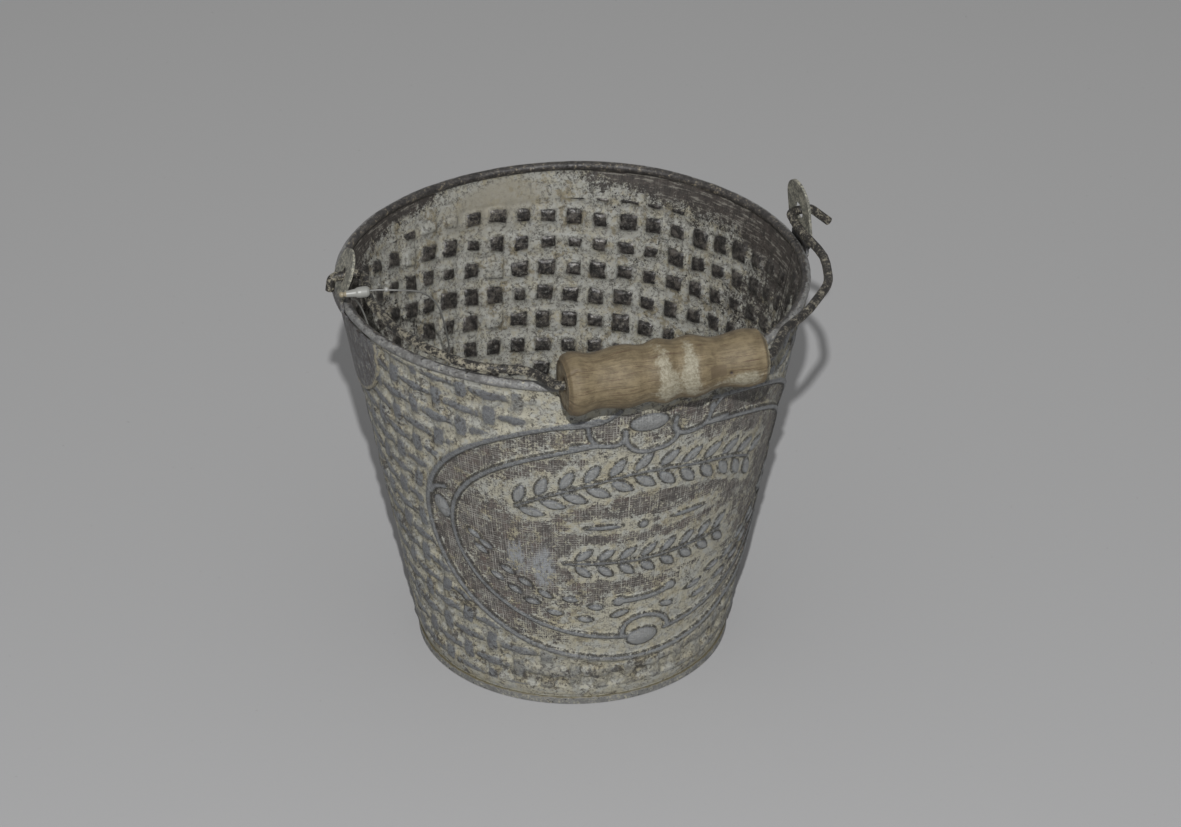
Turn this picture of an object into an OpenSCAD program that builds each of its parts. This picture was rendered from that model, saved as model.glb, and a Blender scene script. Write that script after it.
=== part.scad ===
// Small weathered zinc planter bucket with a wire bail and a turned wooden grip.
// Millimetres. +Z is up, the bucket's own axis is the Z axis and it stands on Z = 0.
// The ears and the bail's hinge lie along X, and the bail rests on the front rim (-Y).

/* [Bucket] */
// Height to the top of the rolled rim
rim_h = 140.5; // [138:0.5:143]
// Outside radius of the rolled rim
rim_r = 80; // [79:0.5:81]
// Thickness of the rolled rim bead
bead_d = 3.5; // [3:0.1:4]
// Radius of the wall where the foot starts to draw in
waist_r = 55.7; // [55:0.1:56.5]
// Height of that waist above the floor
waist_h = 8; // [7:0.5:9]
// Outside radius of the crimped foot ring
foot_r = 54.8; // [54.4:0.1:55]
// Height of the crimped foot ring
foot_h = 2.8; // [2.4:0.1:3]
// Height of the inside of the bottom
floor_h = 4; // [3.5:0.1:4.5]
// Sheet thickness of the walls and the bottom
sheet = 0.6; // [0.5:0.05:0.7]
// Width of the inner lap along each side seam
lap_w = 5; // [3:0.5:8]

/* [Ears] */
// Width of an ear's tongue
ear_w = 16; // [14:0.5:18]
// Radius of the half-round plate against the wall
ear_plate_r = 28; // [24:0.5:30]
// Sheet thickness of the ears
ear_t = 0.9; // [0.8:0.05:1]
// Diameter of the hole for the bail's hook
ear_hole_d = 6; // [5.5:0.1:6.5]
// Top of the right ear
right_top = 162.5; // [160:0.5:164]
// Height of the right ear's hole
right_hole = 151.5; // [150:0.5:152]
// Inward lean of the right ear
right_lean = 6; // [4:1:7]
// Twist of the right ear about the upright
right_twist = 8; // [0:1:9]
// Top of the left ear, which is bent in and so stands lower
left_top = 156; // [155:0.5:157]
// Height of the left ear's hole
left_hole = 147.5; // [147:0.5:148]
// Inward lean of the left ear
left_lean = 22; // [20:1:23]

/* [Bail] */
// Diameter of the bail wire
wire_d = 3; // [2.8:0.1:3]
// Distance from the hinge line to the middle of the grip
bail_reach = 87.1; // [87:0.1:88]
// Angle by which the resting bail dips below the level
bail_dip = 1.5; // [1.3:0.05:1.5]
// Bend radius of the two hooks and of the bends beside the grip
hook_bend = 3.2; // [3:0.1:3.5]

/* [Grip] */
// Length of the wooden grip
grip_l = 65.5; // [64.5:0.5:66]
// Largest radius of the grip
grip_r = 10.5; // [10:0.1:10.6]
// Diameter of the bore for the wire
grip_bore = 4.4; // [4:0.1:5]
// Place of the grip's middle along the hinge line
grip_x = 6.75; // [6.5:0.25:7]

/* [Tag fastener] */
// Thickness of the nylon filament
filament_d = 0.6; // [0.5:0.1:0.8]
// Largest radius of the moulded lock
lock_r = 1.85; // [1.6:0.05:1.9]

/* [Hidden] */
$fn = 96;

zinc = [0.45, 0.47, 0.48];
dull = [0.36, 0.36, 0.34];
timber = [0.68, 0.56, 0.42];
nylon = [0.9, 0.9, 0.88];

bead_r = bead_d / 2;
bead_c = [rim_r - bead_r, rim_h - bead_r];
wall_top = bead_c[1] - bead_r + 0.35;
// The wall's outside is a plain cone from the waist to the bead.
function cone_r(z) = waist_r + (z - waist_h) * (bead_c[0] + 0.25 - waist_r) / (wall_top - waist_h);
// Outside outline of the sheet from the crimp up to the bead.
crimp_r = foot_r - 0.7;
outline = [[crimp_r, 0.65], [crimp_r, foot_h + 0.2], [54.6, 4.2], [55.2, 6],
           [waist_r, waist_h], [cone_r(wall_top), wall_top]];

seam_gap = 0.05;
lap_low = waist_h + 1;
lap_high = wall_top - 1.5;

ear_gap = 0.08;
ear_shoulder = 135.8;           // top edge of the half-round plate, under the bead
ear_inner = rim_r + 0.1;        // inside face of the tongue where it passes the bead
tongue_z = rim_h + 0.7;         // the tongue is straight from here up

// The hinge line runs through the middle of both holes.
right_x = ear_inner + ear_t / 2 - (right_hole - tongue_z) * tan(right_lean);
left_x = -(ear_inner + ear_t / 2 - (left_hole - tongue_z) * tan(left_lean));
hinge_tilt = atan((right_hole - left_hole) / (right_x - left_x));
hinge_z = left_hole - left_x * tan(hinge_tilt);

// The bail's bends in its own plane: [along the hinge, away from it, height, bend radius].
bail_left = -27.4;               // bends beside the grip
bail_right = 42.5;
hook_left = -82;                // the hooks turn down here, outside the ears
hook_right = 83.5;
// Free ends beyond that turn: the right one stands out, the left one lies close to its ear.
stub_right = [6.5, 6];
stub_left = [0.8, 4.8];
bail_route = [
    [hook_left - stub_left[0], 0, -stub_left[1], 0], [hook_left, 0, 0, 2], [-71.2, 0, 0, hook_bend],
    [-73.2, 19, 0, 30], [-69.2, 38, 0, 40], [-61.5, 54, 0, 30], [-50.5, 68, 0, 22], [-34, 75.6, 0, 9],
    [bail_left, bail_reach, 0, hook_bend], [bail_right, bail_reach, 0, hook_bend],
    [50, 74.5, 0, 12], [60.5, 66, 0, 30], [73.5, 50, 0, 22], [77.6, 33, 0, 30], [75.2, 12, 0, 30],
    [75.7, 0, 0, hook_bend], [hook_right, 0, 0, 3], [hook_right + stub_right[0], 0, -stub_right[1], 0]];
bend_step = 12;                 // degrees between rings round a bend
wire_sides = 16;

// Radius of the grip at fractions of its length.
grip_knots = [[0, 0.80], [0.02, 0.94], [0.05, 0.99], [0.155, 0.86], [0.30, 0.97],
              [0.40, 0.885], [0.48, 1], [0.553, 0.90], [0.63, 0.96], [0.765, 0.79],
              [0.91, 0.90], [0.97, 0.85], [1, 0.66]];

// The filament leaves the lock's round end, hangs inside the bucket and comes back
// up between the wire and the rim, so that the loop holds the bail's left arm.
loop_route = [[-72.6, -17.7, 150.3], [-70, -18.3, 150.5], [-63, -19.4, 150],
              [-58.3, -18.2, 148.5], [-55.3, -17.2, 147], [-52.8, -16.3, 144.8],
              [-50.6, -15.4, 142], [-49, -15, 138.5], [-47.7, -14, 134],
              [-46.4, -12.3, 128.5], [-45.4, -10.3, 123.5], [-44.8, -8.5, 118.5],
              [-45.6, -7.3, 112.5], [-49, -7, 107.5], [-54.5, -7.5, 105],
              [-60.5, -9, 106.5], [-65.5, -10.5, 112.5], [-68.8, -11.5, 121],
              [-71.4, -12, 130], [-73.2, -11.7, 137], [-74.7, -11.8, 141.5],
              [-76.4, -13.3, 144.8], [-78, -16, 147], [-79, -17.8, 149.2]];
loop_steps = 3;                 // rings for each stretch of the route
loop_sides = 8;
lock_at = [-82.9, -17.9, 150.2];

// ---- helpers ----

// Points along a bent wire: straight between the bends, round at each [x, y, z, radius].
function at(p) = [p[0], p[1], p[2]];
function unit(v) = v / norm(v);
function toward(r, i) = unit(at(r[i + 1]) - at(r[i]));
function bend_points(r, i) =
    let (d1 = toward(r, i - 1), d2 = toward(r, i), c = d1 * d2, a = acos(c),
         n = unit(d2 - c * d1), back = r[i][3] * tan(a / 2),
         start = at(r[i]) - back * d1, steps = ceil(a / bend_step))
    assert(back < norm(at(r[i + 1]) - at(r[i])) && back < norm(at(r[i]) - at(r[i - 1])))
    [for (k = [0 : steps]) let (f = a * k / steps)
        start + r[i][3] * (n + sin(f) * d1 - cos(f) * n)];
function bent(r) = [at(r[0]), for (i = [1 : len(r) - 2]) for (p = bend_points(r, i)) p,
                    at(r[len(r) - 1])];

// Smooth curve through the points of a route.
function pick(r, i) = r[max(0, min(len(r) - 1, i))];
function blend4(a, b, c, d, t) =
    0.5 * (2 * b + (c - a) * t + (2 * a - 5 * b + 4 * c - d) * t * t + (3 * b - a - 3 * c + d) * t * t * t);
function smooth(r, n) = [for (i = [0 : len(r) - 2]) for (k = [0 : n - 1])
    blend4(pick(r, i - 1), r[i], r[i + 1], pick(r, i + 2), k / n), r[len(r) - 1]];

// Round bar swept along a path; no stretch of the path runs along the given direction.
module tube(path, d, sides, across) {
    n = len(path);
    rings = [for (i = [0 : n - 1])
        let (t = unit(path[min(n - 1, i + 1)] - path[max(0, i - 1)]),
             u = unit(cross(t, across)), v = cross(t, u))
        for (k = [0 : sides - 1]) path[i] + d / 2 * (u * cos(360 * k / sides) + v * sin(360 * k / sides))];
    walls = [for (i = [0 : n - 2]) for (k = [0 : sides - 1])
        let (a = i * sides + k, b = i * sides + (k + 1) % sides)
        for (f = [[a, a + sides, b], [b, a + sides, b + sides]]) f];
    caps = [for (k = [1 : sides - 2])
        for (f = [[0, k, k + 1], [(n - 1) * sides, (n - 1) * sides + k + 1, (n - 1) * sides + k]]) f];
    polyhedron(rings, concat(walls, caps), convexity = 6);
}

// ---- sheet metal ----

module wall_section() {
    inside = [for (i = [len(outline) - 1 : -1 : 0]) outline[i] - [sheet, 0]];
    polygon(concat(outline, inside));
    translate(bead_c) difference() {
        circle(r = bead_r, $fn = 48);
        circle(r = bead_r - sheet, $fn = 48);
    }
}

module lap_section(low, high, out, in) {
    polygon([[cone_r(low) - out, low], [cone_r(high) - out, high],
             [cone_r(high) - in, high], [cone_r(low) - in, low]]);
}

module wall_front() {
    color(zinc) rotate([0, 0, 180]) rotate_extrude(angle = 180) wall_section();
}

module wall_back() {
    lap = lap_w / waist_r * 45;
    color(zinc) {
        rotate_extrude(angle = 180) wall_section();
        // each side edge is set in by one sheet and runs behind the front panel
        for (side = [0, 1]) mirror([side, 0, 0]) {
            rotate([0, 0, -lap]) rotate_extrude(angle = lap + 1.5)
                lap_section(lap_low, lap_high, sheet + seam_gap, 2 * sheet + seam_gap);
            rotate([0, 0, 0.4]) rotate_extrude(angle = 0.8)
                lap_section(lap_low + 1, lap_high - 1, sheet / 2, 1.5 * sheet);
        }
    }
}

module base() {
    chuck = crimp_r - 2 * sheet;
    color(dull) rotate_extrude() polygon([
        [0, floor_h - sheet], [chuck - sheet - 0.6, floor_h - sheet], [chuck - sheet, 0],
        [foot_r - 0.3, 0], [foot_r, 0.3], [foot_r, foot_h - 0.3], [foot_r - 0.3, foot_h],
        [crimp_r + 0.05, foot_h], [crimp_r + 0.05, 0.65], [chuck, 0.65], [chuck - 0.6, floor_h],
        [0, floor_h]]);
}

// One stamped ear on the +X side, spot-welded on and folded out over the bead.
module ear(top, hole, lean, twist) {
    low = ear_shoulder - ear_plate_r;
    fold = [[cone_r(low) + ear_gap, low], [cone_r(ear_shoulder) + ear_gap, ear_shoulder],
            [ear_inner - 0.6, ear_shoulder + 1.1], [ear_inner, bead_c[1] - 0.7],
            [ear_inner, tongue_z - 0.4]];
    back = [for (i = [len(fold) - 1 : -1 : 0]) fold[i] + [ear_t, 0]];
    length = (top - tongue_z) / cos(lean);
    bore = (hole - tongue_z) / cos(lean);
    // plate against the wall and the fold over the bead
    intersection() {
        rotate([0, 0, -22]) rotate_extrude(angle = 44) polygon(concat(fold, back));
        rotate([90, 0, 90]) linear_extrude(height = rim_r + 5) {
            intersection() {
                translate([0, ear_shoulder]) circle(r = ear_plate_r);
                translate([-ear_plate_r, low - 1]) square([2 * ear_plate_r, ear_plate_r + 1]);
            }
            translate([-ear_w / 2, ear_shoulder - 5]) square([ear_w, rim_h - ear_shoulder + 10]);
        }
    }
    // twisted neck, a little inside the faces of what it joins
    hull() {
        translate([ear_inner, 0, tongue_z - 0.8]) neck_end();
        tongue_place(lean, twist) translate([0, 0, 1.7]) neck_end();
    }
    // tongue with its hole
    tongue_place(lean, twist) difference() {
        union() {
            translate([0, -ear_w / 2, 1.5]) cube([ear_t, ear_w, length - ear_w / 2 - 1.5]);
            translate([0, 0, length - ear_w / 2]) rotate([0, 90, 0]) cylinder(d = ear_w, h = ear_t);
        }
        translate([-1, 0, bore]) rotate([0, 90, 0]) cylinder(d = ear_hole_d, h = ear_t + 2);
    }
}

module neck_end() {
    translate([0.06, 0.06 - ear_w / 2, 0]) cube([ear_t - 0.12, ear_w - 0.12, 0.2]);
}

module tongue_place(lean, twist) {
    translate([ear_inner, 0, tongue_z]) rotate([0, 0, twist]) rotate([0, -lean, 0]) children();
}

module ear_left() {
    color(zinc) rotate([0, 0, 180]) ear(left_top, left_hole, left_lean, 0);
}

module ear_right() {
    color(zinc) ear(right_top, right_hole, right_lean, right_twist);
}

// ---- bail and grip ----

// Carries what is drawn in the bail's own plane to where the bail rests.
module bail_place() {
    translate([0, 0, hinge_z]) rotate([0, -hinge_tilt, 0]) rotate([bail_dip, 0, 0])
        mirror([0, 1, 0]) children();
}

module bail_wire() {
    color(dull) bail_place() tube(bent(bail_route), wire_d, wire_sides, [0, 0, 1]);
}

function ease(t) = (1 - cos(180 * t)) / 2;
function grip_at(t) = let (i = max([for (k = [0 : len(grip_knots) - 2]) if (grip_knots[k][0] <= t) k]),
                           a = grip_knots[i], b = grip_knots[i + 1])
    grip_r * (a[1] + (b[1] - a[1]) * ease((t - a[0]) / (b[0] - a[0])));

module grip() {
    stations = [for (i = [0 : len(grip_knots) - 2]) for (k = [0 : 3])
        grip_knots[i][0] + (grip_knots[i + 1][0] - grip_knots[i][0]) * k / 4, 1];
    color(timber) bail_place() translate([grip_x - grip_l / 2, bail_reach, 0]) rotate([0, 90, 0])
        rotate_extrude() polygon(concat([[grip_bore / 2, 0]],
            [for (t = stations) [grip_at(t), t * grip_l]], [[grip_bore / 2, grip_l]]));
}

// ---- tag fastener ----

module tag_loop() {
    color(nylon) tube(smooth(loop_route, loop_steps), filament_d, loop_sides, [0, 1, 0]);
}

module tag_lock() {
    color(nylon) translate(lock_at) rotate([0, 90, 0]) rotate_extrude($fn = 48)
        polygon([[0, 0], [0.6, 0.15], [0.95, 0.6], [0.95, 1.2], [0.6, 1.6], [0.7, 1.8], [1, 2.2],
                 [1.3, 4.8], [1.35, 5.4], [1.7, 6.1], [lock_r, 7], [lock_r, 9], [1.6, 9.7], [0.9, 10.2],
                 [0, 10.3]]);
}

wall_front();
wall_back();
base();
ear_left();
ear_right();
bail_wire();
grip();
tag_loop();
tag_lock();
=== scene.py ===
import math

import bpy
import numpy as np
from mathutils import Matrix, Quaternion, Vector


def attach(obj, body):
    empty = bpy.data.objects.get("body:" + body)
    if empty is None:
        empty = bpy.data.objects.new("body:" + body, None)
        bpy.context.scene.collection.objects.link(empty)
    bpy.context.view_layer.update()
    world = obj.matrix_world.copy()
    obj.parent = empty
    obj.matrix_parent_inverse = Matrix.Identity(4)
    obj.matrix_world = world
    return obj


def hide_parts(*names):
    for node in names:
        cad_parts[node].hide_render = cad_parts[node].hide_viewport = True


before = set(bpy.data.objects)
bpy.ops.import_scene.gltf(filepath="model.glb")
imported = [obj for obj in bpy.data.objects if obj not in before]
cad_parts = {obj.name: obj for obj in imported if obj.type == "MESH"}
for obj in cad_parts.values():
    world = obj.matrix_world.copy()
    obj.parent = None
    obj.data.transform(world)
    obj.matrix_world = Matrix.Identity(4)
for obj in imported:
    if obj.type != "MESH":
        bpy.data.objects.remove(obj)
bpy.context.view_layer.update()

MM = 0.001


def place_object(name, data):
    """A new object in the scene's collection."""
    made = bpy.data.objects.new(name, data)
    bpy.context.scene.collection.objects.link(made)
    return made


# ---- camera

camera = place_object("camera", bpy.data.cameras.new("camera"))
camera.data.lens = 101.4
camera.data.sensor_width = 36
camera.data.clip_start, camera.data.clip_end = 0.05, 20
camera.location = Vector((-249.5, -954.9, 661.5)) * MM
aim = Vector((5.91, -1.58, 83.33)) * MM - camera.location
camera.rotation_mode = "QUATERNION"
camera.rotation_quaternion = aim.to_track_quat("-Z", "Y") @ Quaternion((0, 0, 1), math.radians(0.17))
bpy.context.scene.camera = camera

# ---- small maths


def step(low, high, x):
    """0 below low and 1 above high, with a smooth rise between; high may be below low."""
    t = np.clip((x - low) / (high - low), 0, 1)
    return t * t * (3 - 2 * t)


def hashed(i, j, k=0):
    """A fixed pseudo-random number from 0 to 1 for each pair of whole numbers."""
    a = np.sin(i * 127.1 + j * 311.7 + k * 74.7) * 43758.5453
    return a - np.floor(a)


def lattice_noise(x, y, k=0):
    """Smooth noise from -1 to 1 with features one unit across."""
    i, j = np.floor(x), np.floor(y)
    fx, fy = x - i, y - j
    fx, fy = fx * fx * (3 - 2 * fx), fy * fy * (3 - 2 * fy)
    low = hashed(i, j, k) * (1 - fx) + hashed(i + 1, j, k) * fx
    high = hashed(i, j + 1, k) * (1 - fx) + hashed(i + 1, j + 1, k) * fx
    return (low * (1 - fy) + high * fy) * 2 - 1


def catmull(points, n):
    """Points along a smooth curve through the given ones, n for each stretch."""
    p = [np.array(q, float) for q in points]
    found = []
    for i in range(len(p) - 1):
        a, b, c, d = p[max(i - 1, 0)], p[i], p[i + 1], p[min(i + 2, len(p) - 1)]
        for k in range(n):
            t = k / n
            found.append(0.5 * (2 * b + (c - a) * t + (2 * a - 5 * b + 4 * c - d) * t * t
                                + (3 * b - a - 3 * c + d) * t ** 3))
    found.append(p[-1])
    return np.array(found)


# ---- meshes


def piece(name, verts, faces, body, material, attributes=None, smooth=True):
    """A mesh object from vertices in millimetres in the part's frame."""
    mesh = bpy.data.meshes.new(name)
    verts = np.asarray(verts, np.float32).reshape(-1, 3)
    faces = [np.asarray(f, np.int32) for f in faces]
    counts = np.concatenate([np.full(len(f), f.shape[1], np.int32) for f in faces])
    loops = np.concatenate([f.ravel() for f in faces])
    mesh.vertices.add(len(verts))
    mesh.vertices.foreach_set("co", (verts * np.float32(MM)).ravel())
    mesh.loops.add(len(loops))
    mesh.loops.foreach_set("vertex_index", loops)
    mesh.polygons.add(len(counts))
    mesh.polygons.foreach_set("loop_start", np.concatenate([[0], np.cumsum(counts)[:-1]]).astype(np.int32))
    mesh.update(calc_edges=True)
    mesh.validate()
    if smooth:
        mesh.polygons.foreach_set("use_smooth", np.ones(len(counts), bool))
    for key, values in (attributes or {}).items():
        values = np.asarray(values, np.float32).reshape(len(verts), -1)
        kind, field = ("FLOAT", "value") if values.shape[1] == 1 else ("FLOAT_VECTOR", "vector")
        mesh.attributes.new(key, kind, "POINT").data.foreach_set(field, values.ravel())
    mesh.materials.append(material)
    made = place_object(name, mesh)
    if body:
        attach(made, body)
    return made


def grid_faces(rows, cols, close_rows=False, close_cols=False):
    """Quads over a grid of rows by cols vertices."""
    i = np.arange(rows if close_rows else rows - 1)[:, None]
    j = np.arange(cols if close_cols else cols - 1)[None, :]
    a, b = i * cols + j, i * cols + (j + 1) % cols
    c, d = ((i + 1) % rows) * cols + (j + 1) % cols, ((i + 1) % rows) * cols + j
    return np.stack([a, b, c, d], -1).reshape(-1, 4)


# ---- materials


class Look:
    """A node material; its methods add nodes and return their sockets."""

    def __init__(self, name):
        self.material = bpy.data.materials.new(name)
        self.material.use_nodes = True
        self.tree = self.material.node_tree
        self.shader = self.tree.nodes["Principled BSDF"]
        scaled = self.node("ShaderNodeVectorMath", operation="SCALE")
        self.put(scaled.inputs[0], self.node("ShaderNodeTexCoord").outputs["Object"])
        scaled.inputs["Scale"].default_value = 1 / MM
        self.mm = scaled.outputs[0]

    def node(self, kind, **settings):
        made = self.tree.nodes.new(kind)
        for key, value in settings.items():
            setattr(made, key, value)
        return made

    def put(self, socket, value):
        if isinstance(value, bpy.types.NodeSocket):
            self.tree.links.new(value, socket)
        elif isinstance(value, (tuple, list)) and len(value) == 3 and socket.type == "RGBA":
            socket.default_value = (*value, 1)
        else:
            socket.default_value = value

    def maths(self, operation, a, b=0.0):
        made = self.node("ShaderNodeMath", operation=operation)
        self.put(made.inputs[0], a)
        self.put(made.inputs[1], b)
        return made.outputs[0]

    def add(self, *values):
        total = values[0]
        for v in values[1:]:
            total = self.maths("ADD", total, v)
        return total

    def times(self, *values):
        total = values[0]
        for v in values[1:]:
            total = self.maths("MULTIPLY", total, v)
        return total

    def swing(self, value, *amounts):
        """A value from 0 to 1 moved to lie about 0, times the amounts."""
        return self.times(self.add(value, -0.5), *amounts)

    def ramp(self, value, low, high, out_low=0.0, out_high=1.0):
        """Smooth rise from out_low at low to out_high at high."""
        made = self.node("ShaderNodeMapRange", interpolation_type="SMOOTHSTEP")
        for key, v in (("Value", value), ("From Min", low), ("From Max", high),
                       ("To Min", out_low), ("To Max", out_high)):
            self.put(made.inputs[key], v)
        return made.outputs[0]

    def mix(self, share, a, b):
        """Colour a, going to b as the share rises; 6, 7 and 2 are the node's colour sockets."""
        made = self.node("ShaderNodeMix", data_type="RGBA")
        self.put(made.inputs[0], share)
        self.put(made.inputs[6], a)
        self.put(made.inputs[7], b)
        return made.outputs[2]

    def over(self, under, colour, value, low, high, most=1.0):
        """Lays a colour over another, more of it as the value goes from low to high."""
        return self.mix(self.ramp(value, low, high, 0.0, most), under, colour)

    def noise(self, size, detail=3.0, rough=0.55, at=None, stretch=None, shift=0.0):
        """Noise from 0 to 1 with features of about size millimetres."""
        vector = at or self.mm
        if stretch or shift:
            mapped = self.node("ShaderNodeMapping")
            self.put(mapped.inputs["Vector"], vector)
            mapped.inputs["Location"].default_value = (shift, shift * 0.7, shift * 1.3)
            mapped.inputs["Scale"].default_value = stretch or (1, 1, 1)
            vector = mapped.outputs[0]
        made = self.node("ShaderNodeTexNoise")
        self.put(made.inputs["Vector"], vector)
        made.inputs["Scale"].default_value = 1 / size
        made.inputs["Detail"].default_value = detail
        made.inputs["Roughness"].default_value = rough
        return made.outputs["Fac"]

    def attribute(self, name, vector=False):
        made = self.node("ShaderNodeAttribute", attribute_name=name)
        return made.outputs["Vector" if vector else "Fac"]

    def split(self, vector):
        made = self.node("ShaderNodeSeparateXYZ")
        self.put(made.inputs[0], vector)
        return made.outputs

    def bump(self, height, strength=1.0):
        """A bump of height millimetres."""
        made = self.node("ShaderNodeBump")
        self.put(made.inputs["Height"], height)
        made.inputs["Distance"].default_value = MM
        made.inputs["Strength"].default_value = strength
        return made.outputs[0]

    def finish(self, colour, rough, metal=0.0, normal=None):
        self.put(self.shader.inputs["Base Color"], colour)
        self.put(self.shader.inputs["Roughness"], rough)
        self.put(self.shader.inputs["Metallic"], metal)
        if normal is not None:
            self.put(self.shader.inputs["Normal"], normal)
        return self.material


def rgb(r, g, b):
    """Linear colour from 0-255 screen values."""
    return tuple(((c / 255 + 0.055) / 1.055) ** 2.4 if c > 10 else c / 255 / 12.92 for c in (r, g, b))


def grey(level):
    return (level, level, level)


ZINC = rgb(111, 114, 116)
ZINC_DARK = rgb(91, 92, 94)
CREAM = rgb(143, 140, 126)
CREAM_WARM = rgb(136, 130, 110)
CREAM_GREY = rgb(140, 140, 133)
BROWN = rgb(61, 55, 51)
BLACK = rgb(30, 28, 26)


def aged(k, dark, light, patch, share, shift=0.0):
    """Mottled old metal: two tones, patches of old paint over a share of it, and black specks."""
    fine = k.noise(0.8, 4, 0.7, shift=shift)
    mid = k.noise(3.0, 4, 0.65, shift=shift + 9)
    tone = k.mix(k.ramp(k.add(k.times(mid, 0.6), k.times(fine, 0.4)), 0.40, 0.60), dark, light)
    cover = k.ramp(k.add(fine, k.times(mid, 0.6), share), 0.84, 0.94)
    tone = k.mix(cover, tone, patch)
    tone = k.over(tone, BLACK, k.noise(1.3, 3, 0.7, shift=shift + 21), 0.40, 0.33)
    height = k.add(k.times(fine, 0.10), k.times(mid, 0.12), k.times(cover, 0.12))
    return tone, height


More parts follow.
